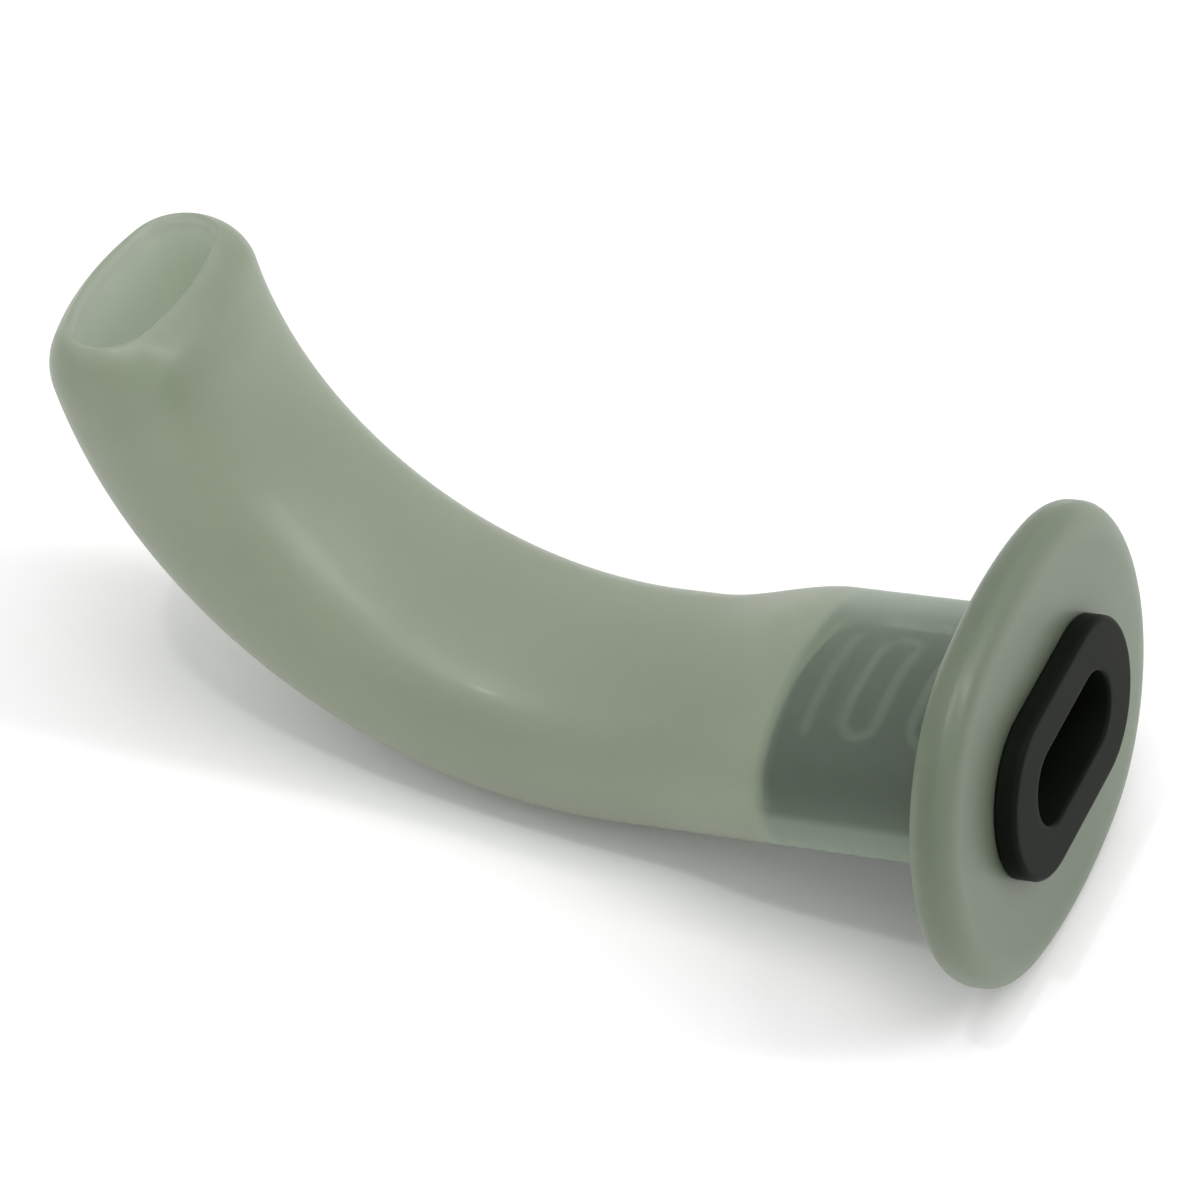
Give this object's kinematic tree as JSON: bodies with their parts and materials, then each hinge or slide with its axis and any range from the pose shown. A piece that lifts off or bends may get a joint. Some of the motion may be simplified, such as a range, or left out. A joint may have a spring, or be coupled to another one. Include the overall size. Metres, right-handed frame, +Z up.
{
  "type": "oropharyngeal airway",
  "caption": "Curved, flattened breathing tube with an oval lip flange, moulded in one piece, and a hard slotted bite block pushed into its mouth end.",
  "frame": {"origin": "middle of the bounding box at the height of the table on which the airway lies", "axes": "+Y from the flange towards the tip, +Z up from the table towards the inside of the bend, X across the tube"},
  "size_m": [0.0294, 0.0608, 0.0269],
  "materials": {
    "airway_body": "frosted translucent polyethylene",
    "bite_block": "black moulded plastic, satin"
  },
  "bodies": {
    "root": {"airway_body": "airway_body", "bite_block": "bite_block"}
  },
  "joints": []
}
